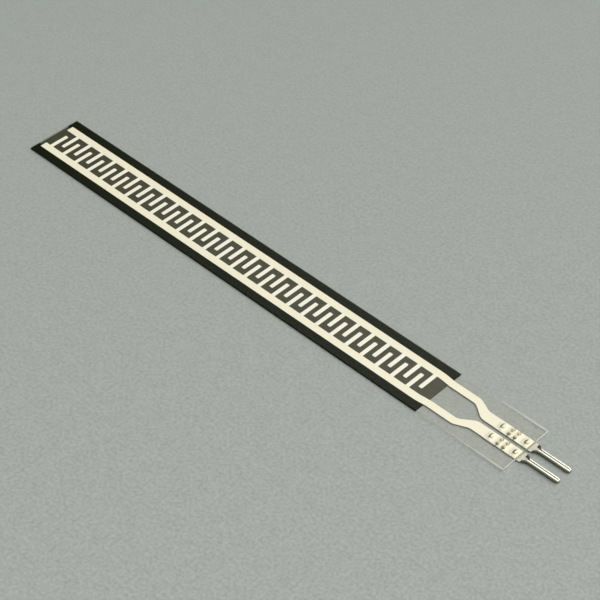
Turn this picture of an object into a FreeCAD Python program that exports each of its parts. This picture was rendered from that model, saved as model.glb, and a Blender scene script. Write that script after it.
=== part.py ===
import FreeCAD, Part
import math
import os
from types import SimpleNamespace

import Sketcher

# Force sensing resistor, long strip.
# A clear film carries two printed silver combs on its underside. Along the sensing length a
# black film with a printed carbon layer lies below it, held off the combs by an adhesive strip
# on each long side. The tail is the clear film alone, and each comb ends there in a pad with a
# crimped contact: a plate whose tines pierce the pad, a neck, and a pin rolled from the sheet.
#
# X runs along the strip towards the pins, Y across it, Z up. The origin is in the middle of the
# whole length and width, on the surface that the strip lies on. Left is the +Y side.
# All sizes are in millimetres.

SIZES = {
    # clear film: it covers the sensing length and runs on as the tail
    "tail_length": 16.0,
    "film_width": 10.0,
    "film_thickness": 0.125,
    "film_corner_radius": 0.2,
    # layers below the clear film, which end with the sensing length
    "sensing_length": 84.0,
    "base_thickness": 0.125,
    "carbon_thickness": 0.025,
    "spacer_thickness": 0.1,
    "spacer_under_rail": 0.45,
    "rail_clearance": 0.05,
    # printed silver: rails and combs
    "silver_thickness": 0.02,
    "rail_margin": 0.7,
    "rail_width": 1.25,
    "rail_spacing": 5.7,
    "finger_pitch": 3.0,
    "finger_width": 0.68,
    "finger_margin": 2.0,
    "finger_tip_gap": 1.08,
    "finger_tip_radius": 0.15,
    # printed silver: leads and pads on the tail
    "jog_inside": 1.6,
    "jog_length": 2.1,
    "lead_width": 1.25,
    "lead_spacing": 5.25,
    "funnel_length": 2.3,
    "pad_length": 8.4,
    "pad_width": 1.85,
    "print_bend_radius": 1.5,
    # crimped contacts: the plate under each pad
    "contact_pitch": 2.54,
    "sheet_thickness": 0.2,
    "plate_reach": 6.2,
    "plate_width": 1.95,
    "plate_corner_radius": 0.2,
    "plate_overhang": 0.3,
    "plate_taper": 0.3,
    # crimped contacts: the tines that pierce the pad and curl over on top of the film
    "tine_curl_radius": 0.08,
    "tine_clearance": 0.05,
    "end_tine_width": 0.7,
    "end_tine_tip_width": 0.45,
    "end_tine_margin": 0.25,
    "end_tine_window": 0.6,
    "end_tine_inset": 1.05,
    "end_tine_gap": 0.4,
    "side_tine_width": 0.4,
    "side_tine_tip_width": 0.25,
    "side_tine_inset": 0.3,
    "side_tine_spacing": 1.05,
    "side_tine_gap": 0.3,
    # crimped contacts: the rolled pin
    "neck_length": 1.1,
    "pin_length": 5.1,
    "pin_bore_width": 0.46,
    "pin_bore_height": 0.2,
    "pin_bend_radius": 0.02,
    "pin_seam": 0.05,
    "pin_lip_radius": 0.1,
    "pin_tip_length": 0.35,
    "pin_tip_width": 0.5,
}

# How far the sheet is already folded where the neck begins, so that its bends are arcs there.
NECK_START_FOLD = math.radians(4)
FULL_FOLD = math.radians(90)
NECK_STEPS = 5

# Corners closer together than this are the same corner.
SAME_PLACE = 0.0001

doc = FreeCAD.newDocument("force_sensing_resistor")


class Size:
    """A length that knows its value and the formula that ties it to the sheet."""

    def __init__(self, value, formula):
        self.value = value
        self.formula = formula

    def joined(self, other, sign, value):
        right = other.formula if isinstance(other, Size) else str(other)
        return Size(value, f"({self.formula} {sign} {right})")

    def __add__(self, other):
        return self.joined(other, "+", self.value + number(other))

    def __sub__(self, other):
        return self.joined(other, "-", self.value - number(other))

    def __mul__(self, other):
        return self.joined(other, "*", self.value * number(other))

    def __truediv__(self, other):
        return self.joined(other, "/", self.value / number(other))

    def __neg__(self):
        return self * -1


def number(length):
    return length.value if isinstance(length, Size) else length


def whole(length):
    """The size rounded down, for counting."""
    return Size(math.floor(length.value), f"floor({length.formula})")


def fill_sheet():
    """Write the sizes into the document's sheet and return them under their names."""
    sheet = doc.addObject("Spreadsheet::Sheet", "Sizes")
    for row, (name, value) in enumerate(SIZES.items(), start=1):
        sheet.set(f"A{row}", name)
        sheet.set(f"B{row}", str(value))
        sheet.setAlias(f"B{row}", name)
    doc.recompute()
    return SimpleNamespace(**{name: Size(sheet.get(name), f"Sizes.{name}") for name in SIZES})


size = fill_sheet()
ZERO = Size(0.0, "0")

# Places that several pieces share. X is counted from the film's sensing end here.
film_length = size.sensing_length + size.tail_length
overall_length = (
    film_length + size.plate_overhang + size.plate_taper + size.neck_length + size.pin_length
)
film_level = size.base_thickness + size.carbon_thickness + size.spacer_thickness
silver_level = film_level - size.silver_thickness
plate_level = silver_level - size.sheet_thickness
rail_inner = (size.rail_spacing - size.rail_width) / 2
rail_outer = (size.rail_spacing + size.rail_width) / 2
lead_inner = (size.lead_spacing - size.lead_width) / 2
lead_outer = (size.lead_spacing + size.lead_width) / 2
pad_inner = (size.contact_pitch - size.pad_width) / 2
pad_outer = (size.contact_pitch + size.pad_width) / 2
jog_start = size.sensing_length - size.jog_inside
jog_end = jog_start + size.jog_length
pad_start = film_length - size.pad_length
funnel_start = pad_start - size.funnel_length
plate_start = film_length - size.plate_reach
last_finger_edge = size.finger_margin + size.finger_pitch / 2 + size.finger_width / 2
finger_count = whole((jog_start - last_finger_edge) / size.finger_pitch) + 1
riser_edge = size.plate_width / 2 - size.side_tine_inset


# Helpers for bodies, sketches and features


def origin_part(body, role):
    """One of a body's own base planes or axes, by its role."""
    return next(item for item in body.Origin.OriginFeatures if item.Role == role)


def bind(item, name, length):
    item.setExpression(name, length.formula)


def new_body(label):
    body = doc.addObject("PartDesign::Body", label)
    body.Label = label
    return body


def place(item, y, z, x=ZERO):
    """Put a piece at its place, with x counted from the film's sensing end."""
    bind(item, "Placement.Base.x", x - overall_length / 2)
    bind(item, "Placement.Base.y", y)
    bind(item, "Placement.Base.z", z)
    return item


def arc_between(start, end, radius):
    """Arc from start to end, turning left for a positive radius and right for a negative one."""
    first, last = (start, end) if radius > 0 else (end, start)
    chord = last - first
    rise = math.sqrt(max(radius**2 - (chord.Length / 2) ** 2, 0))
    left = FreeCAD.Vector(-chord.y, chord.x, 0).normalize()
    centre = (first + last) / 2 + left * rise
    turn = [math.atan2(point.y - centre.y, point.x - centre.x) for point in (first, last)]
    circle = Part.Circle(centre, FreeCAD.Vector(0, 0, 1), abs(radius))
    return Part.ArcOfCircle(circle, *turn)


def outline(body, name, loops, plane="XY_Plane", level=None):
    """Sketch of closed loops. Each loop is a list of corners (x, y) or (x, y, radius), where a
    radius makes the edge that leaves the corner an arc."""
    sketch = body.newObject("Sketcher::SketchObject", name)
    sketch.AttachmentSupport = (origin_part(body, plane), [""])
    sketch.MapMode = "FlatFace"
    if level:
        bind(sketch, "AttachmentOffset.Base.z", level)
    for loop in loops:
        add_loop(sketch, loop)
    return sketch


def add_loop(sketch, loop):
    ends = []
    for index, corner in enumerate(loop):
        following = loop[(index + 1) % len(loop)]
        start, end = (FreeCAD.Vector(p[0].value, p[1].value, 0) for p in (corner, following))
        radius = corner[2] if len(corner) > 2 else None
        edge = arc_between(start, end, radius.value) if radius else Part.LineSegment(start, end)
        geometry = sketch.addGeometry(edge, False)
        ends.append((geometry, 2, 1) if radius and radius.value < 0 else (geometry, 1, 2))
        if radius:
            tie(sketch, size_of_arc(radius), "Radius", geometry)
    for index, (geometry, first, last) in enumerate(ends):
        next_geometry, next_first, _ = ends[(index + 1) % len(ends)]
        sketch.addConstraint(
            Sketcher.Constraint("Coincident", geometry, last, next_geometry, next_first)
        )
        tie(sketch, loop[index][0], "DistanceX", -1, 1, geometry, first)
        tie(sketch, loop[index][1], "DistanceY", -1, 1, geometry, first)


def size_of_arc(radius):
    return radius if radius.value > 0 else -radius


def tie(sketch, length, kind, *where):
    """Add a dimension to a sketch and tie it to its formula."""
    index = sketch.addConstraint(Sketcher.Constraint(kind, *where, length.value))
    bind(sketch, f"Constraints[{index}]", length)


def rectangle(x_low, x_high, y_low, y_high):
    return [(x_low, y_low), (x_high, y_low), (x_high, y_high), (x_low, y_high)]


def rounded_rectangle(x_low, x_high, y_low, y_high, radius):
    return [
        (x_low + radius, y_low),
        (x_high - radius, y_low, radius),
        (x_high, y_low + radius),
        (x_high, y_high - radius, radius),
        (x_high - radius, y_high),
        (x_low + radius, y_high, radius),
        (x_low, y_high - radius),
        (x_low, y_low + radius, radius),
    ]


def pad(body, sketch, length, name, symmetric=False):
    feature = body.newObject("PartDesign::Pad", name)
    feature.Profile = sketch
    bind(feature, "Length", length)
    if symmetric:
        feature.SideType = "Symmetric"
    return feature


def pocket(body, sketch, depth, name, upwards=True):
    """Cut the sketch's area out of the body, upwards from the sketch or downwards."""
    feature = body.newObject("PartDesign::Pocket", name)
    feature.Profile = sketch
    feature.Reversed = upwards
    bind(feature, "Length", depth)
    return feature


def round_upright_edges(body, name, base, corners, radius):
    """Fillet the upright edges of a flat piece that stand on the given corners."""
    doc.recompute()
    chosen = []
    for index, edge in enumerate(base.Shape.Edges, start=1):
        low, high = edge.Vertexes[0].Point, edge.Vertexes[-1].Point
        upright = math.hypot(low.x - high.x, low.y - high.y) < SAME_PLACE
        at_corner = any(
            math.hypot(low.x - x.value, low.y - y.value) < SAME_PLACE for x, y in corners
        )
        if upright and at_corner:
            chosen.append(f"Edge{index}")
    feature = body.newObject("PartDesign::Fillet", name)
    feature.Base = (base, chosen)
    bind(feature, "Radius", radius)
    return feature


# Tines, and the slots that let them through the pads and the film


def tine_stations():
    """Where the tines stand along the plate, from its far end: the backs of the end tines, and
    the middles of the side tines, which are centred on the plate's reach under the film."""
    first_end = size.end_tine_margin + size.end_tine_window
    ends = [first_end, size.plate_reach - size.end_tine_inset]
    middle = size.plate_reach / 2
    sides = [middle - size.side_tine_spacing / 2, middle + size.side_tine_spacing / 2]
    return ends, sides


def tine_slots(start, middle):
    """Slots for the six tines of one contact. Each tine tears its slot open behind it."""
    end_tines, side_tines = tine_stations()
    past_riser = size.sheet_thickness + size.tine_clearance
    slots = []
    for x in end_tines:
        half = size.end_tine_width / 2 + size.tine_clearance
        behind = start + x - size.end_tine_gap
        front = start + x + past_riser
        slots.append(rectangle(behind, front, middle - half, middle + half))
    for x in side_tines:
        half = size.side_tine_width / 2 + size.tine_clearance
        near, far = start + x - half, start + x + half
        inner = riser_edge - past_riser
        outer = riser_edge + size.side_tine_gap
        slots.append(rectangle(near, far, middle + inner, middle + outer))
        slots.append(rectangle(near, far, middle - outer, middle - inner))
    return slots


# The films and what is printed on them


def make_base_film():
    body = new_body("base_film")
    half = size.film_width / 2
    sketch = outline(body, "base_outline", [rectangle(ZERO, size.sensing_length, -half, half)])
    pad(body, sketch, size.base_thickness, "base_sheet")
    return place(body, ZERO, ZERO)


def make_carbon_layer():
    body = new_body("carbon_layer")
    half = size.film_width / 2
    sketch = outline(body, "carbon_outline", [rectangle(ZERO, size.sensing_length, -half, half)])
    pad(body, sketch, size.carbon_thickness, "carbon_print")
    return place(body, ZERO, size.base_thickness)


def make_spacer(label, side):
    """Adhesive strip along one long side, with a bed that the printed rail sinks into."""
    body = new_body(label)
    inner = rail_inner + (size.rail_width - size.spacer_under_rail)
    edges = sorted([inner * side, size.film_width / 2 * side], key=number)
    sketch = outline(body, "strip_outline", [rectangle(ZERO, size.sensing_length, *edges)])
    pad(body, sketch, size.spacer_thickness, "strip")

    clear = size.rail_clearance
    past_end = size.sensing_length + size.jog_length
    bed = [
        (size.rail_margin - clear, ZERO),
        (past_end, ZERO),
        (past_end, (lead_outer + clear) * side),
        (jog_end, (lead_outer + clear) * side),
        (jog_start, (rail_outer + clear) * side),
        (size.rail_margin - clear, (rail_outer + clear) * side),
    ]
    bed_floor = size.spacer_thickness - size.silver_thickness
    bed_sketch = outline(body, "rail_bed_outline", [bed], level=bed_floor)
    pocket(body, bed_sketch, size.silver_thickness, "rail_bed")
    return place(body, ZERO, size.base_thickness + size.carbon_thickness)


def make_electrode(label, side, first_finger):
    """Rail, lead and pad on one side, and the comb that reaches across to the other rail."""
    body = new_body(label)
    upper = [
        (size.rail_margin, rail_inner),
        (jog_start, rail_inner),
        (jog_end, lead_inner),
        (funnel_start, lead_inner),
        (pad_start, pad_inner),
        (film_length, pad_inner),
        (film_length, pad_outer),
        (pad_start, pad_outer),
        (funnel_start, lead_outer),
        (jog_end, lead_outer),
        (jog_start, rail_outer),
        (size.rail_margin, rail_outer),
    ]
    track = [(x, y * side) for x, y in upper]
    sketch = outline(body, "track_outline", [track])
    track_pad = pad(body, sketch, size.silver_thickness, "track")
    bends = [corner for corner in track if corner[0] not in (size.rail_margin, film_length)]
    round_upright_edges(body, "track_bends", track_pad, bends, size.print_bend_radius)

    near = first_finger - size.finger_width / 2
    far = first_finger + size.finger_width / 2
    root = size.rail_spacing / 2 * side
    tip = (size.finger_tip_gap - rail_inner) * side
    curve = size.finger_tip_radius
    finger = [
        (near, root),
        (near, tip + curve * side, curve * side),
        (near + curve, tip),
        (far - curve, tip, curve * side),
        (far, tip + curve * side),
        (far, root),
    ]
    finger_sketch = outline(body, "finger_outline", [finger])
    finger_pad = pad(body, finger_sketch, size.silver_thickness, "finger")
    comb = body.newObject("PartDesign::LinearPattern", "comb")
    comb.Originals = [finger_pad]
    comb.Direction = (origin_part(body, "X_Axis"), [""])
    comb.Mode = "Spacing"
    bind(comb, "Offset", size.finger_pitch)
    bind(comb, "Occurrences", finger_count)
    body.Tip = comb

    slots = tine_slots(plate_start, size.contact_pitch / 2 * side)
    slot_sketch = outline(body, "tine_slot_outline", slots)
    pocket(body, slot_sketch, size.silver_thickness, "tine_slots")
    return place(body, ZERO, silver_level)


def make_top_film():
    body = new_body("top_film")
    half = size.film_width / 2
    edge = rounded_rectangle(ZERO, film_length, -half, half, size.film_corner_radius)
    sketch = outline(body, "film_outline", [edge])
    pad(body, sketch, size.film_thickness, "film_sheet")
    slots = tine_slots(plate_start, size.contact_pitch / 2)
    slots += tine_slots(plate_start, -size.contact_pitch / 2)
    slot_sketch = outline(body, "tine_slot_outline", slots)
    pocket(body, slot_sketch, size.film_thickness, "tine_slots")
    return place(body, ZERO, film_level)


# The contacts


def add_tine(body, name, profile, plane, station, width, taper):
    """One tine: its side profile across the sheet, narrowed towards the tip as seen from above."""
    sketch = outline(body, f"{name}_profile", [profile], plane, station)
    pad(body, sketch, width, name, symmetric=True)
    top = size.sheet_thickness + size.silver_thickness + size.film_thickness
    taper_sketch = outline(body, f"{name}_taper_outline", taper, level=top)
    curl_height = size.tine_curl_radius + size.sheet_thickness * 2
    pocket(body, taper_sketch, curl_height, f"{name}_taper")


def curl_profile(back, way):
    """Side profile of a tine: a riser with its back at the given place, through silver and film,
    then half a ring that sets the tip down on the film. It curls towards +1 or -1 along the
    first axis."""
    sheet = size.sheet_thickness
    inner = size.tine_curl_radius
    outer = inner + sheet
    top = sheet + size.silver_thickness + size.film_thickness
    crown = back + outer * way
    front = back + sheet * way
    return [
        (back, ZERO),
        (front, ZERO),
        (front, top, inner * -way),
        (crown, top + inner, inner * -way),
        (crown + inner * way, top),
        (crown + outer * way, top, outer * way),
        (crown, top + outer, outer * way),
        (back, top),
    ]


def taper_along_x(back):
    """Two wedges that narrow an end tine from its riser to its tip."""
    start = back + size.sheet_thickness
    end = back + (size.tine_curl_radius + size.sheet_thickness) * 2
    root, tip = size.end_tine_width / 2, size.end_tine_tip_width / 2
    return [
        [(start, root), (end, tip), (end, root)],
        [(start, -root), (end, -tip), (end, -root)],
    ]


def taper_along_y(station, side):
    """Two wedges that narrow a side tine from its riser to its tip."""
    start = (riser_edge - size.sheet_thickness) * side
    end = start - (size.tine_curl_radius * 2 + size.sheet_thickness) * side
    root, tip = size.side_tine_width / 2, size.side_tine_tip_width / 2
    return [
        [(station + root, start), (station + tip, end), (station + root, end)],
        [(station - root, start), (station - tip, end), (station - root, end)],
    ]


def bend_length():
    """Length of sheet that one full bend of the pin takes, along the middle of the sheet."""
    return (size.pin_bend_radius + size.sheet_thickness / 2) * FULL_FOLD


def half_web():
    return size.pin_bore_width / 2 - size.pin_bend_radius


def half_blank():
    """Half the width of the flat sheet that the pin is rolled from."""
    wall = size.pin_bore_height - size.pin_bend_radius * 2
    lip = half_web() - size.pin_seam / 2
    return half_web() + bend_length() * 2 + wall + lip


def make_contact_plate(label):
    body = new_body(f"{label}_plate")
    end = size.plate_reach + size.plate_overhang
    half, curve = size.plate_width / 2, size.plate_corner_radius
    blank = half_blank()
    edge = [
        (curve, -half),
        (end, -half),
        (end + size.plate_taper, -blank),
        (end + size.plate_taper, blank),
        (end, half),
        (curve, half, curve),
        (ZERO, half - curve),
        (ZERO, curve - half, curve),
    ]
    sketch = outline(body, "plate_outline", [edge])
    pad(body, sketch, size.sheet_thickness, "plate")

    end_tines, side_tines = tine_stations()
    cut_outs = []
    for back in end_tines:
        root = size.end_tine_width / 2
        cut_outs.append(rectangle(back - size.end_tine_window, back, -root, root))
    for station in side_tines:
        near, far = station - size.side_tine_width / 2, station + size.side_tine_width / 2
        cut_outs.append(rectangle(near, far, riser_edge, half))
        cut_outs.append(rectangle(near, far, -half, -riser_edge))
    cut_sketch = outline(body, "cut_outline", cut_outs)
    pocket(body, cut_sketch, size.sheet_thickness, "windows_and_notches")

    for index, back in enumerate(end_tines):
        taper = taper_along_x(back)
        name = f"end_tine_{index}"
        add_tine(body, name, curl_profile(back, 1), "XZ_Plane", ZERO, size.end_tine_width, taper)
    for index, station in enumerate(side_tines):
        for side in (1, -1):
            profile = curl_profile(riser_edge * side, -side)
            taper = taper_along_y(station, side)
            name = f"side_tine_{index}_{'left' if side > 0 else 'right'}"
            add_tine(body, name, profile, "YZ_Plane", station, size.side_tine_width, taper)
    return body


def folded_half(fold):
    """One half of the sheet's section when both of its bends are folded by the given angle.
    Returns the outer and inner points from the middle of the web to the lip, in Y and Z."""
    sheet = size.sheet_thickness.value
    bend = bend_length().value
    wall = size.pin_bore_height.value - 2 * size.pin_bend_radius.value
    lip = half_web().value - size.pin_seam.value / 2
    rounding = size.pin_lip_radius.value * math.sin(fold)
    steps = [(half_web().value, 0), (bend, fold), (wall, 0), (bend, fold), (lip - rounding, 0)]
    place_now = FreeCAD.Vector(0, 0, sheet / 2)
    heading = 0
    outer, inner = [], []
    for length, turn in steps:
        for part in (0.5, 0.5):
            chord = length * part
            middle = heading + turn * part / 2
            if turn:
                chord = 2 * (length / turn) * math.sin(turn * part / 2)
            place_now = place_now + FreeCAD.Vector(0, math.cos(middle), math.sin(middle)) * chord
            heading += turn * part
            across = FreeCAD.Vector(0, -math.sin(heading), math.cos(heading)) * (sheet / 2)
            outer.append(place_now - across)
            inner.append(place_now + across)
    along = FreeCAD.Vector(0, math.cos(heading), math.sin(heading)) * rounding
    across = FreeCAD.Vector(0, -math.sin(heading), math.cos(heading))
    corner = outer[-1] + along
    round_middle = corner - (along - across * rounding) * (1 - math.sqrt(0.5))
    outer += [round_middle, corner + across * rounding]
    inner.append(inner[-1] + along)
    return outer, inner


def folded_section(x, fold, scale=1.0):
    """Closed section of the folded sheet at x. The same edges in the same order at any fold."""
    outer, inner = folded_half(fold)
    height = 2 * size.sheet_thickness.value + size.pin_bore_height.value

    def put(point, side):
        level = height / 2 + (point.z - height / 2) * scale
        return FreeCAD.Vector(x, point.y * side * scale, level)

    def half_edges(side):
        out = [put(point, side) for point in outer]
        ins = [put(point, side) for point in inner]
        web_out, web_in = out[1], ins[1]
        edges = [
            Part.Arc(web_out, out[2], out[3]).toShape(),
            Part.makeLine(out[3], out[5]),
            Part.Arc(out[5], out[6], out[7]).toShape(),
            Part.makeLine(out[7], out[9]),
            Part.Arc(out[9], out[10], out[11]).toShape(),
            Part.makeLine(out[11], ins[10]),
            Part.makeLine(ins[10], ins[7]),
            Part.Arc(ins[7], ins[6], ins[5]).toShape(),
            Part.makeLine(ins[5], ins[3]),
            Part.Arc(ins[3], ins[2], web_in).toShape(),
        ]
        return edges, web_out, web_in

    left, left_out, left_in = half_edges(1)
    right, right_out, right_in = half_edges(-1)
    bottom = Part.makeLine(right_out, left_out)
    floor = Part.makeLine(left_in, right_in)
    return Part.Wire([bottom] + left + [floor] + list(reversed(right)))


def make_rolled_pin(label):
    """Neck and pin: the flat sheet folds up along the neck until its two edges meet in a seam on
    top, runs on as a closed pin, and narrows at the tip."""
    start = (size.plate_reach + size.plate_overhang + size.plate_taper).value
    neck_end = start + size.neck_length.value
    tip_start = neck_end + size.pin_length.value - size.pin_tip_length.value
    neck = []
    for step in range(NECK_STEPS + 1):
        share = step / NECK_STEPS
        fold = NECK_START_FOLD + (FULL_FOLD - NECK_START_FOLD) * share
        neck.append(folded_section(start + size.neck_length.value * share, fold))
    full_width = size.pin_bore_width.value + 2 * size.sheet_thickness.value
    tip_scale = size.pin_tip_width.value / full_width
    shank = [folded_section(neck_end, FULL_FOLD), folded_section(tip_start, FULL_FOLD)]
    tip = [
        folded_section(tip_start, FULL_FOLD),
        folded_section(tip_start + size.pin_tip_length.value, FULL_FOLD, tip_scale),
    ]
    pieces = [
        Part.makeLoft(neck, True, False),
        Part.makeLoft(shank, True, True),
        Part.makeLoft(tip, True, True),
    ]
    rolled = doc.addObject("Part::Feature", f"{label}_pin")
    rolled.Shape = pieces[0].fuse(pieces[1:]).removeSplitter()
    return rolled


def make_contact(label, side):
    contact = doc.addObject("Part::MultiFuse", label)
    contact.Label = label
    contact.Shapes = [make_contact_plate(label), make_rolled_pin(label)]
    return place(contact, size.contact_pitch / 2 * side, plate_level, plate_start)


def check(item):
    """Stop if a piece failed or isn't one sound solid."""
    shape = item.Shape
    if shape.isNull() or not shape.isValid() or len(shape.Solids) != 1:
        raise RuntimeError(f"{item.Label} is not one valid solid")


half_pitch = size.finger_pitch / 2
sub_parts = [
    make_base_film(),
    make_carbon_layer(),
    make_spacer("spacer_left", 1),
    make_spacer("spacer_right", -1),
    make_electrode("electrode_right", -1, size.finger_margin),
    make_electrode("electrode_left", 1, size.finger_margin + half_pitch),
    make_top_film(),
    make_contact("contact_left", 1),
    make_contact("contact_right", -1),
]
doc.recompute()

for item in doc.Objects:
    if "Invalid" in item.State or "Error" in item.State:
        raise RuntimeError(f"{item.Label} failed: {item.State}")
for item in sub_parts:
    check(item)

os.makedirs("parts", exist_ok=True)
for item in sub_parts:
    item.Shape.exportStep(f"parts/{item.Label}.step")
    box = item.Shape.BoundBox
    print(f"{item.Label}: {item.Shape.Volume:.3f} mm3, X {box.XMin:.2f} to {box.XMax:.2f}")
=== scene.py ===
import math

import bmesh
import bpy
from mathutils import Euler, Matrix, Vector


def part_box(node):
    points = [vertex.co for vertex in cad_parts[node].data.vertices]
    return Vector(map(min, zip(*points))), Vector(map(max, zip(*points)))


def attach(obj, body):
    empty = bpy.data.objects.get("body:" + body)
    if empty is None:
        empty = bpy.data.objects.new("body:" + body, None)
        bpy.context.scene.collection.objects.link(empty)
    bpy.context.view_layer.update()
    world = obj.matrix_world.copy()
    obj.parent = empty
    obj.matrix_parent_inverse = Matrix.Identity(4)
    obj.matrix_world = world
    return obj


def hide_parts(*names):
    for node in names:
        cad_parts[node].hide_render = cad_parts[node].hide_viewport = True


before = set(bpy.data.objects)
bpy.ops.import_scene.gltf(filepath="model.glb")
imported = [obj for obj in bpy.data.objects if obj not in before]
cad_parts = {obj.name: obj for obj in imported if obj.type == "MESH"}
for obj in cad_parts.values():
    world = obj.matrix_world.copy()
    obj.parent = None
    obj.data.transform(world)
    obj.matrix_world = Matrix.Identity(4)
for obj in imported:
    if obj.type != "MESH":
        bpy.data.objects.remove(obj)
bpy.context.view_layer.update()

# Force sensing resistor, long strip, on a pale grey table.
# X runs along the strip towards the pins, Y across it, Z up. All lengths are in metres.

MM = 0.001

FILM_LOW, FILM_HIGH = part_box("top_film")
FILM_END = FILM_HIGH.x
BASE_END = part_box("base_film")[1].x
CONTACTS = ("contact_left", "contact_right")
CONTACT_MIDDLES = [sum(corner.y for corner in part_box(name)) / 2 for name in CONTACTS]
PLATE_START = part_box("contact_left")[0].x
PLATE_HALF = 0.975 * MM

# The rails lie further than RAIL_INNER from the strip's middle line, and the contacts nearer.
# A look that changes there or at a film's end fades over BLUR.
RAIL_INNER = 2.2 * MM
BLUR = 0.1 * MM

# The crimped tines: the backs of the two end tines, and the middles of the two pairs of side
# tines, with the slots that they tear open in the film around them.
END_TINES = (PLATE_START + 0.85 * MM, FILM_END - 1.05 * MM)
SIDE_TINES = [(PLATE_START + FILM_END) / 2 + offset * MM for offset in (-0.525, 0.525)]
END_SLOT = (-0.40 * MM, 0.25 * MM, 0.40 * MM)
SIDE_SLOT = (0.25 * MM, 0.425 * MM, 0.975 * MM)

# The torn film has sprung back towards the tines. The edge behind an end tine is bowed: how far
# it reaches in at its middle, and how much further at its ends. The slot of a side tine closes
# from the tine outwards, down to a share of its width.
TEAR_MIDDLE = 0.26 * MM
TEAR_BOW = 0.12 * MM
CLOSED_FROM, CLOSED_TO = 0.64 * MM, 0.80 * MM
LEFT_OPEN = 0.08

# How the crimping raises the film: in a burr round each slot, and in swellings across the plate,
# each with its middle, its reach and its height. They fade out towards the plate's sides.
RELIEF_STEP = 0.11 * MM
RELIEF_MARGIN = 0.45 * MM
RELIEF_FADE = 0.40 * MM
BURR_HEIGHT = 0.05 * MM
BURR_REACH = 0.10 * MM
SWELLINGS = (
    (PLATE_START + 1.15 * MM, 0.42 * MM, 0.10 * MM),
    ((PLATE_START + FILM_END) / 2, 0.85 * MM, 0.06 * MM),
    (FILM_END - 0.75 * MM, 0.50 * MM, 0.10 * MM),
)

# Corners of a mesh closer than WELD are one corner, and a cut takes corners closer than CUT_GRIP
# as lying on it. Faces that meet at more than SHARP_ANGLE meet in a real edge, and those that
# meet at less than FLAT_ANGLE are one face.
WELD = 0.0005 * MM
CUT_GRIP = 0.001 * MM
SHARP_ANGLE = math.radians(42)
FLAT_ANGLE = math.radians(0.6)

# The film's underside lies a hair inside what is printed on it, so that no two faces coincide.
PRINT_GRIP = 0.003 * MM
# The table lies a hair below the strip for the same reason.
TABLE_LEVEL = -0.002 * MM
TABLE_SIZE = 6.0
# How much its wider patches count beside its fine grain, which runs from 0 to 1.
PATCH_DEPTH = 0.045

CAMERA_PLACE = Vector((0.1410, -0.1452, 0.19105))
CAMERA_AIM = Vector((0.00325, -0.00011, 0.00025))
CAMERA_ROLL = math.radians(0.62)
CAMERA_LENS = 110.46
CAMERA_CLIP = (0.01, 10.0)
SENSOR_WIDTH = 36.0

FILM_IOR = 1.57
# The thin clear sheet mirrors less than a thick polished pane would.
SHEEN_IOR = 1.30

# How wide the film's rim is whitened where it was cut, how white it is where the tail begins, and
# how much whiter at the tail's end. The white is partly the cutter's whitening and partly painted
# light caught in the cut edge, and its rise along the tail is painted light. The cut face gets
# CUT_SHARE of the rim's white.
RIM = 0.20 * MM
RIM_START, RIM_GAIN = 0.15, 0.85
CUT_SHARE = 0.9

# The key lamp: its way from the strip, how far off and how wide it is, and its power.
KEY_WAY = Vector((0.45, 0.35, 0.82)).normalized()
KEY_DISTANCE = 3.0
KEY_WIDTH = 4.2
KEY_POWER = 71.0

# The sky's light: dim in front of the strip and bright behind it, counted along the given way.
# Towards the sensing end it fades, between two X parts of a direction, down to FADED.
SKY_WAY = Vector((0, 0.87, 0.5))
SKY_FROM, SKY_TO = -0.6, 0.75
SKY_DIM, SKY_BRIGHT = 0.12, 1.0
FADE_FROM, FADE_TO = -0.65, -0.38
FADED = 0.0


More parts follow.
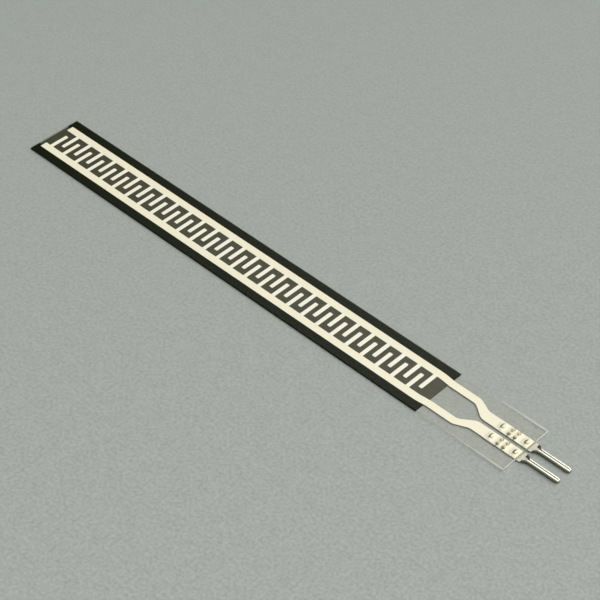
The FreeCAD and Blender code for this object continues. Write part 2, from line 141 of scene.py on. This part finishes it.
class Tree:
    """The node tree of a new material, with short calls to add and link nodes."""

    def __init__(self, name):
        self.material = bpy.data.materials.new(name)
        self.material.use_nodes = True
        self.tree = self.material.node_tree
        self.tree.nodes.clear()
        self.place = self.add("ShaderNodeTexCoord").outputs["Object"]

    def add(self, kind, inputs=None, **settings):
        node = self.tree.nodes.new(kind)
        for key, value in settings.items():
            setattr(node, key, value)
        for key, value in (inputs or {}).items():
            if isinstance(value, bpy.types.NodeSocket):
                self.tree.links.new(value, node.inputs[key])
            else:
                node.inputs[key].default_value = value
        return node

    def stretched(self, lengths):
        """Coordinates in which a texture of scale 1 has the given lengths along X, Y and Z."""
        scale = [1 / length for length in lengths]
        return self.add("ShaderNodeMapping", {"Vector": self.place, "Scale": scale}).outputs[0]

    def grain(self, length, detail=2.0, place=None):
        """Noise from 0 to 1 whose spots are about the given length across."""
        inputs = {"Vector": place or self.place, "Scale": 1 / length, "Detail": detail}
        return self.add("ShaderNodeTexNoise", inputs).outputs["Fac"]

    def split(self, axis):
        """The place along one axis, in metres."""
        return self.add("ShaderNodeSeparateXYZ", {0: self.place}).outputs[axis]

    def spread(self, value, low, high, to_low=0.0, to_high=1.0):
        """The value, with low to high stretched over the new range and cut off outside it."""
        inputs = {"Value": value, "From Min": low, "From Max": high}
        inputs.update({"To Min": to_low, "To Max": to_high})
        return self.add("ShaderNodeMapRange", inputs, clamp=True).outputs["Result"]

    def math(self, operation, first, second=0.0):
        return self.add("ShaderNodeMath", {0: first, 1: second}, operation=operation).outputs[0]

    def blend(self, share, first, second):
        """A colour between the first and the second."""
        inputs = {0: share, 6: first, 7: second}
        return self.add("ShaderNodeMix", inputs, data_type="RGBA").outputs[2]

    def bump(self, height, distance):
        """A normal for the given height field, which stands for the given depth."""
        inputs = {"Height": height, "Distance": distance, "Strength": 1.0}
        return self.add("ShaderNodeBump", inputs).outputs["Normal"]

    def within_rails(self):
        """From 1 between the rails to 0 under and outside them."""
        return self.spread(self.from_middle(), RAIL_INNER + BLUR, RAIL_INNER)

    def from_middle(self):
        """The distance from the strip's middle line."""
        return self.math("ABSOLUTE", self.split("Y"))

    def finish(self, shader):
        output = self.add("ShaderNodeOutputMaterial")
        self.tree.links.new(shader, output.inputs["Surface"])
        return self.material

    def layered(self, share, below, above):
        """A mix of two shaders, with the given share of the one above."""
        return self.add("ShaderNodeMixShader", {0: share, 1: below, 2: above}).outputs[0]

    def mirrored_share(self, ior):
        """How much a thin sheet's face mirrors, the same from outside and from within the sheet."""
        inside = self.add("ShaderNodeNewGeometry").outputs["Backfacing"]
        seen_ior = self.spread(inside, 0.0, 1.0, ior, 1 / ior)
        return self.add("ShaderNodeFresnel", {"IOR": seen_ior}).outputs[0]


# Materials


def frosting_and_painted_light(tree):
    """The shader of a cut through the clear sheet. It scatters light and looks whitish, partly from
    the cutter's whitening and partly painted light caught in the cut. Where it lies over the
    contacts it is olive, a painted shadow of the film's end on the plates below."""
    cut = tree.grain(1, place=tree.stretched((0.05 * MM, 0.05 * MM, 0.5 * MM)))
    over_contact = tree.within_rails()
    # Olive over the contacts: painted shadow of the film's end on the plates.
    painted_shadow_olive = (0.44, 0.41, 0.26, 1)
    lit = tree.add("ShaderNodeBsdfPrincipled", {
        "Base Color": tree.blend(over_contact, (0.92, 0.93, 0.83, 1), painted_shadow_olive),
        "Roughness": tree.spread(cut, 0.3, 0.7, 0.25, 0.45),
        "IOR": FILM_IOR,
        "Normal": tree.bump(cut, 0.01 * MM),
    })
    passed = tree.blend(over_contact, (0.95, 0.95, 0.88, 1), painted_shadow_olive)
    glow = tree.add("ShaderNodeBsdfTranslucent", {"Color": passed})
    return tree.layered(0.4, lit.outputs[0], glow.outputs[0])


def tail_share(tree):
    """How white the film's rim is: 0 on the sensing length, where black lies below, then a small
    step where the tail begins and a slow rise to 1 near its end. The rise is painted light caught
    in the cut edge."""
    along = tree.split("X")
    start = tree.spread(along, BASE_END - BLUR, BASE_END + 0.6 * MM, 0.0, RIM_START)
    gain = tree.spread(along, BASE_END + 7 * MM, FILM_END - 2 * MM, 0.0, RIM_GAIN)
    return tree.math("ADD", start, gain)


def clear_film():
    """Clear polyester sheet, very smooth, with faint waves and a whitish rim, partly whitened by
    the cutter and partly painted light caught in the cut. Its faces mirror where air lies against
    them, and not where ink or adhesive does."""
    tree = Tree("clear_film")
    waves = tree.bump(tree.grain(4 * MM, detail=1.0), 0.004 * MM)
    scuffs = tree.grain(0.4 * MM, detail=4.0)
    clear = tree.add("ShaderNodeBsdfTransparent", {"Color": (0.992, 0.989, 0.976, 1)})
    gloss = tree.add("ShaderNodeBsdfGlossy", {
        "Color": (1, 1, 1, 1),
        "Roughness": tree.spread(scuffs, 0.4, 0.8, 0.03, 0.09),
        "Normal": waves,
    })
    on_tail = tree.spread(tree.split("X"), BASE_END, BASE_END + BLUR)
    over_air = tree.math("MAXIMUM", on_tail, tree.within_rails())
    on_top = tree.spread(tree.split("Z"), FILM_LOW.z, FILM_HIGH.z)
    free_face = tree.math("MAXIMUM", over_air, on_top)
    share = tree.math("MULTIPLY", tree.mirrored_share(SHEEN_IOR), free_face)
    pane = tree.layered(share, clear.outputs[0], gloss.outputs[0])

    # The rim's white is partly the cutter's whitening and partly painted light caught in the cut.
    side = tree.spread(tree.from_middle(), FILM_HIGH.y - RIM, FILM_HIGH.y)
    end = tree.spread(tree.split("X"), FILM_END - RIM, FILM_END)
    rim = tree.math("MULTIPLY", tree.math("MAXIMUM", side, end), tail_share(tree))
    return tree.finish(tree.layered(rim, pane, frosting_and_painted_light(tree)))


def cut_film():
    """The cut edge of the clear sheet: a grey see-through at first, painted shade for the dark
    edge, and whitish towards the tail's end, partly painted light caught in the cut.
    """
    tree = Tree("cut_film")
    # The grey see-through colour is painted shade at the cut edge.
    clear = tree.add("ShaderNodeBsdfTransparent", {"Color": (0.74, 0.75, 0.71, 1)})
    share = tree.math("MULTIPLY", tail_share(tree), CUT_SHARE)
    return tree.finish(tree.layered(share, clear.outputs[0], frosting_and_painted_light(tree)))


def silver_ink():
    """Screen printed silver: cream and matte, a little whiter on the fingers than elsewhere."""
    tree = Tree("silver_ink")
    beside = tree.spread(tree.from_middle(), RAIL_INNER - 2 * BLUR, RAIL_INNER + BLUR)
    on_tail = tree.spread(tree.split("X"), BASE_END - 0.5 * MM, BASE_END)
    on_rail = tree.math("MAXIMUM", beside, on_tail)
    grains = tree.grain(0.12 * MM, detail=3.0)
    clouds = tree.grain(1.5 * MM, detail=2.0)
    plain = tree.blend(on_rail, (0.96, 0.94, 0.81, 1), (0.94, 0.90, 0.70, 1))
    cloudy = tree.blend(tree.spread(clouds, 0.3, 0.7, 0.0, 0.12), plain, (0.86, 0.82, 0.64, 1))
    colour = tree.blend(tree.spread(grains, 0.35, 0.7, 0.0, 0.16), cloudy, (0.80, 0.77, 0.62, 1))
    flakes = tree.bump(tree.grain(0.05 * MM, detail=2.0), 0.004 * MM)
    shader = tree.add("ShaderNodeBsdfPrincipled", {
        "Base Color": colour,
        "Metallic": 0.15,
        "Roughness": tree.spread(grains, 0.3, 0.7, 0.50, 0.62),
        "Normal": flakes,
    })
    return tree.finish(shader.outputs[0])


def carbon_ink():
    """Printed carbon: dark warm grey, matte and finely speckled."""
    tree = Tree("carbon_ink")
    speckles = tree.grain(0.08 * MM, detail=4.0)
    clouds = tree.grain(2 * MM, detail=2.0)
    cloudy = tree.spread(clouds, 0.3, 0.7)
    speckled = tree.spread(speckles, 0.55, 0.8, 0.0, 0.6)
    plain = tree.blend(cloudy, (0.040, 0.040, 0.015, 1), (0.052, 0.052, 0.022, 1))
    colour = tree.blend(speckled, plain, (0.086, 0.082, 0.056, 1))
    shader = tree.add("ShaderNodeBsdfPrincipled", {
        "Base Color": colour,
        "Roughness": tree.spread(speckles, 0.3, 0.7, 0.62, 0.78),
        "Specular IOR Level": 0.4,
        "Normal": tree.bump(speckles, 0.006 * MM),
    })
    return tree.finish(shader.outputs[0])


def black_adhesive():
    """Black pressure sensitive adhesive, wetted out on the film, with a few tiny pores."""
    tree = Tree("black_adhesive")
    flow = tree.grain(0.6 * MM, detail=3.0)
    pores = tree.grain(0.1 * MM, detail=2.0)
    porous = tree.spread(pores, 0.6, 0.8)
    colour = tree.blend(porous, (0.006, 0.009, 0.001, 1), (0.009, 0.012, 0.002, 1))
    shader = tree.add("ShaderNodeBsdfPrincipled", {
        "Base Color": colour,
        "Roughness": tree.spread(flow, 0.3, 0.7, 0.5, 0.65),
        "Specular IOR Level": 0.05,
        "Normal": tree.bump(flow, 0.002 * MM),
    })
    return tree.finish(shader.outputs[0])


def black_film():
    """Black polyester sheet: smooth, glossy, with fine scuffs."""
    tree = Tree("black_film")
    scuffs = tree.grain(1, detail=4.0, place=tree.stretched((0.8 * MM, 0.15 * MM, 0.15 * MM)))
    scuffed = tree.spread(scuffs, 0.5, 0.8)
    colour = tree.blend(scuffed, (0.010, 0.011, 0.010, 1), (0.018, 0.018, 0.017, 1))
    shader = tree.add("ShaderNodeBsdfPrincipled", {
        "Base Color": colour,
        "Roughness": tree.spread(scuffs, 0.35, 0.75, 0.18, 0.34),
        "IOR": FILM_IOR,
        "Normal": tree.bump(scuffs, 0.002 * MM),
    })
    return tree.finish(shader.outputs[0])


def tin_plating():
    """Bright tin over a rolled strip: faint drawing lines along it and soft cloudy patches. The
    tines are duller and less metallic than the pins, and cream, a painted reflection of the cream
    ink around them. What faces sideways or down gets painted shade on the pins and plates, and
    painted light, a lighter cream, on the tines."""
    tree = Tree("tin_plating")
    lines = tree.grain(1, detail=3.0, place=tree.stretched((1.2 * MM, 0.03 * MM, 0.03 * MM)))
    clouds = tree.grain(0.5 * MM, detail=2.0)
    on_film = tree.spread(tree.split("X"), FILM_END + BLUR, FILM_END)
    on_top = tree.spread(tree.split("Z"), FILM_LOW.z, FILM_HIGH.z)
    on_tine = tree.math("MULTIPLY", on_film, on_top)
    cloudy = tree.spread(clouds, 0.35, 0.7)
    plain = tree.blend(cloudy, (0.72, 0.72, 0.61, 1), (0.60, 0.60, 0.49, 1))
    # The tines are cream, a painted reflection of the cream ink around them.
    bright = tree.blend(on_tine, plain, (0.72, 0.67, 0.49, 1))
    # Sideways and downward faces: painted shade on the pins and plates, painted light on the tines.
    painted_side_shading = tree.blend(on_tine, (0.28, 0.28, 0.20, 1), (0.82, 0.76, 0.55, 1))
    facing = tree.add("ShaderNodeNewGeometry").outputs["Normal"]
    upwards = tree.add("ShaderNodeSeparateXYZ", {0: facing}).outputs["Z"]
    # Lit and shaded copies of the tin, chosen by which way a face turns.
    colour = tree.blend(tree.spread(upwards, 0.1, 0.7), painted_side_shading, bright)
    bent = tree.spread(tree.split("Z"), FILM_HIGH.z, FILM_HIGH.z + 0.05 * MM, 0.0, 0.20)
    duller = tree.math("MULTIPLY", on_film, bent)
    less_metallic = tree.math("MULTIPLY", on_tine, 0.45)
    shader = tree.add("ShaderNodeBsdfPrincipled", {
        "Base Color": colour,
        "Metallic": tree.math("SUBTRACT", 1.0, less_metallic),
        "Roughness": tree.math("ADD", tree.spread(clouds, 0.3, 0.7, 0.26, 0.34), duller),
        "Normal": tree.bump(lines, 0.0003 * MM),
    })
    return tree.finish(shader.outputs[0])


def table_top():
    """Plain pale grey board with a fine grain and faint wider patches, and a painted gradient of
    light that makes it a little paler towards the pins."""
    tree = Tree("table_top")
    patches = tree.grain(2.2 * MM, detail=2.0)
    patches = tree.spread(patches, 0.3, 0.7, -PATCH_DEPTH, PATCH_DEPTH)
    grains = tree.math("ADD", tree.grain(0.5 * MM, detail=4.0), patches)
    # Painted light: the board is painted paler towards the pins.
    towards_pins = tree.math("SUBTRACT", tree.split("X"), tree.split("Y"))
    painted_light_falloff = tree.spread(towards_pins, -0.12, 0.12)
    darker = tree.blend(painted_light_falloff, (0.305, 0.328, 0.304, 1), (0.321, 0.341, 0.313, 1))
    lighter = tree.blend(painted_light_falloff, (0.349, 0.373, 0.346, 1), (0.435, 0.455, 0.422, 1))
    colour = tree.blend(tree.spread(grains, 0.3, 0.7), darker, lighter)
    shader = tree.add("ShaderNodeBsdfPrincipled", {
        "Base Color": colour,
        "Roughness": 0.8,
        "Specular IOR Level": 0.3,
    })
    return tree.finish(shader.outputs[0])


# Pieces


def give(item, *materials):
    item.data.materials.clear()
    for made in materials:
        item.data.materials.append(made)


def copy_of_node(node, name):
    """A new piece with the node's mesh, which then stands for the node."""
    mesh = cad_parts[node].data.copy()
    stored = mesh.attributes.get("custom_normal")
    if stored:
        mesh.attributes.remove(stored)
    piece = bpy.data.objects.new(name, mesh)
    bpy.context.scene.collection.objects.link(piece)
    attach(piece, "root")
    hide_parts(node)
    return piece


def smooth_step(value, low, high):
    """From 0 at low to 1 at high, level at both ends."""
    share = min(max((value - low) / (high - low), 0.0), 1.0)
    return share * share * (3 - 2 * share)


def past_box(x, y, box):
    """How far a place lies outside a box, and 0 inside it."""
    x_low, x_high, y_low, y_high = box
    return math.hypot(max(x_low - x, x - x_high, 0), max(y_low - y, y - y_high, 0))


def slots_of_contact():
    """The six slots that a contact's tines tear in the film, with Y counted from its middle."""
    behind, ahead, half = END_SLOT
    slots = [(back + behind, back + ahead, -half, half) for back in END_TINES]
    half, inner, outer = SIDE_SLOT
    for middle in SIDE_TINES:
        slots.append((middle - half, middle + half, inner, outer))
        slots.append((middle - half, middle + half, -outer, -inner))
    return slots


def crimp_relief(x, y):
    """How far the crimping raises the film and its print at a place."""
    across = min((y - middle for middle in CONTACT_MIDDLES), key=abs)
    over_plate = smooth_step(PLATE_HALF - abs(across), 0.0, RELIEF_FADE)
    over_plate *= smooth_step(x - PLATE_START, 0.0, RELIEF_FADE)
    raised = 0.0
    for middle, reach, height in SWELLINGS:
        raised += height * math.exp(-(((x - middle) / reach) ** 2))
    from_slot = min(past_box(x, across, slot) for slot in SLOTS)
    burr = BURR_HEIGHT * math.exp(-((from_slot / BURR_REACH) ** 2))
    return over_plate * (raised + burr)


def tear_shift(x, y):
    """How far the torn edges of a slot have sprung back along X."""
    across = min((y - middle for middle in CONTACT_MIDDLES), key=abs)
    behind, ahead, end_half = END_SLOT
    for back in END_TINES:
        if behind - WELD < x - back < ahead and abs(across) < end_half + WELD:
            share = (back + ahead - x) / (ahead - behind)
            return share * (TEAR_MIDDLE + TEAR_BOW * (across / end_half) ** 2)
    side_half, _, outer = SIDE_SLOT
    for middle in SIDE_TINES:
        if abs(x - middle) < side_half + WELD and abs(across) < outer + WELD:
            closed = (1 - LEFT_OPEN) * smooth_step(abs(across), CLOSED_FROM, CLOSED_TO)
            return (middle - x) * closed
    return 0.0


def cut_finely(shape):
    """Cut the mesh along evenly spaced lines where the crimps are."""
    x = PLATE_START - RELIEF_MARGIN
    while x < FILM_END:
        cut_along(shape, (x, 0, 0), (1, 0, 0))
        x += RELIEF_STEP
    reach = CONTACT_MIDDLES[0] + PLATE_HALF + RELIEF_MARGIN
    y = -reach
    while y < reach:
        cut_along(shape, (0, y, 0), (0, 1, 0))
        y += RELIEF_STEP


def cut_along(shape, place, normal):
    everything = shape.verts[:] + shape.edges[:] + shape.faces[:]
    bmesh.ops.bisect_plane(
        shape, geom=everything, dist=CUT_GRIP, plane_co=place, plane_no=normal
    )


def crimped_copy(node, name, slot, *materials):
    """The film or a print, raised over the contacts. Its upright faces get the last material."""
    piece = copy_of_node(node, name)
    give(piece, *materials)
    shape = bmesh.new()
    shape.from_mesh(piece.data)
    bmesh.ops.remove_doubles(shape, verts=shape.verts, dist=WELD)
    cut_finely(shape)
    bmesh.ops.triangulate(shape, faces=shape.faces)
    for vertex in shape.verts:
        x, y = vertex.co.xy
        vertex.co.z += crimp_relief(x, y)
        vertex.co.x += tear_shift(x, y)
    shape.normal_update()
    for face in shape.faces:
        upright = abs(face.normal.z) < 0.5
        face.material_index = len(materials) - 1 if upright else 0
    shape.to_mesh(piece.data)
    shape.free()
    shade_smooth(piece)
    return piece


def shade_smooth(piece):
    """Smooth shading over the facets of a curve, with the real edges kept sharp."""
    piece.data.shade_smooth()
    piece.data.set_sharp_from_angle(angle=SHARP_ANGLE)
    weighted = piece.modifiers.new("weighted_normals", "WEIGHTED_NORMAL")
    weighted.keep_sharp = True


def make_clear_sheet(film, edge):
    """The clear film, with its underside a hair lower so that it grips what is printed on it."""
    sheet = crimped_copy("top_film", "clear_sheet", "clear_film", film, edge)
    middle = (FILM_LOW.z + FILM_HIGH.z) / 2
    for vertex in sheet.data.vertices:
        if vertex.co.z < middle + crimp_relief(*vertex.co.xy):
            vertex.co.z -= PRINT_GRIP


def make_contact(node, finish):
    piece = copy_of_node(node, f"bright_{node}")
    give(piece, finish)
    shape = bmesh.new()
    shape.from_mesh(piece.data)
    bmesh.ops.remove_doubles(shape, verts=shape.verts, dist=WELD)
    bmesh.ops.dissolve_limit(shape, angle_limit=FLAT_ANGLE, verts=shape.verts, edges=shape.edges)
    bmesh.ops.triangulate(shape, faces=shape.faces)
    bmesh.ops.dissolve_degenerate(shape, dist=WELD, edges=shape.edges)
    shape.to_mesh(piece.data)
    shape.free()
    shade_smooth(piece)


def make_table(finish):
    bpy.ops.mesh.primitive_plane_add(size=TABLE_SIZE, location=(0, 0, TABLE_LEVEL))
    table = bpy.context.object
    table.name = "table"
    give(table, finish)


# Light and camera


def add_key_lamp():
    """One wide round soft box, high behind the pins."""
    data = bpy.data.lights.new("key", "AREA")
    data.shape = "DISK"
    data.size = KEY_WIDTH
    data.energy = KEY_POWER
    lamp = bpy.data.objects.new("key", data)
    lamp.location = KEY_WAY * KEY_DISTANCE
    lamp.rotation_euler = KEY_WAY.to_track_quat("Z", "Y").to_euler()
    bpy.context.scene.collection.objects.link(lamp)


def light_sky():
    world = bpy.data.worlds.new("world")
    world.use_nodes = True
    nodes, links = world.node_tree.nodes, world.node_tree.links

    def spread(value, low, high, to_low, to_high):
        node = nodes.new("ShaderNodeMapRange")
        ends = {"From Min": low, "From Max": high, "To Min": to_low, "To Max": to_high}
        for name, end in ends.items():
            node.inputs[name].default_value = end
        links.new(value, node.inputs["Value"])
        return node.outputs["Result"]

    direction = nodes.new("ShaderNodeTexCoord").outputs["Generated"]
    along = nodes.new("ShaderNodeVectorMath")
    along.operation = "DOT_PRODUCT"
    along.inputs[1].default_value = SKY_WAY
    links.new(direction, along.inputs[0])
    sideways = nodes.new("ShaderNodeSeparateXYZ")
    links.new(direction, sideways.inputs[0])
    behind = spread(along.outputs["Value"], SKY_FROM, SKY_TO, SKY_DIM, SKY_BRIGHT)
    fading = spread(sideways.outputs["X"], FADE_FROM, FADE_TO, FADED, 1.0)
    strength = nodes.new("ShaderNodeMath")
    strength.operation = "MULTIPLY"
    links.new(behind, strength.inputs[0])
    links.new(fading, strength.inputs[1])
    links.new(strength.outputs[0], nodes["Background"].inputs["Strength"])
    nodes["Background"].inputs["Color"].default_value = (1, 1, 1, 1)
    bpy.context.scene.world = world


def add_camera():
    data = bpy.data.cameras.new("camera")
    data.sensor_width = SENSOR_WIDTH
    data.lens = CAMERA_LENS
    data.clip_start, data.clip_end = CAMERA_CLIP
    camera = bpy.data.objects.new("camera", data)
    camera.location = CAMERA_PLACE
    aimed = (CAMERA_AIM - CAMERA_PLACE).to_track_quat("-Z", "Y")
    camera.rotation_mode = "QUATERNION"
    camera.rotation_quaternion = aimed @ Euler((0, 0, CAMERA_ROLL)).to_quaternion()
    bpy.context.scene.collection.objects.link(camera)
    bpy.context.scene.camera = camera


SLOTS = slots_of_contact()
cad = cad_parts
silver, adhesive, tin = silver_ink(), black_adhesive(), tin_plating()
for side in ("left", "right"):
    crimped_copy(f"electrode_{side}", f"silver_comb_{side}", "silver_ink", silver)
    give(cad[f"spacer_{side}"], adhesive)
    make_contact(f"contact_{side}", tin)
give(cad["carbon_layer"], carbon_ink())
give(cad["base_film"], black_film())
make_clear_sheet(clear_film(), cut_film())
make_table(table_top())
light_sky()
add_key_lamp()
add_camera()
bpy.context.scene.view_settings.view_transform = "Standard"
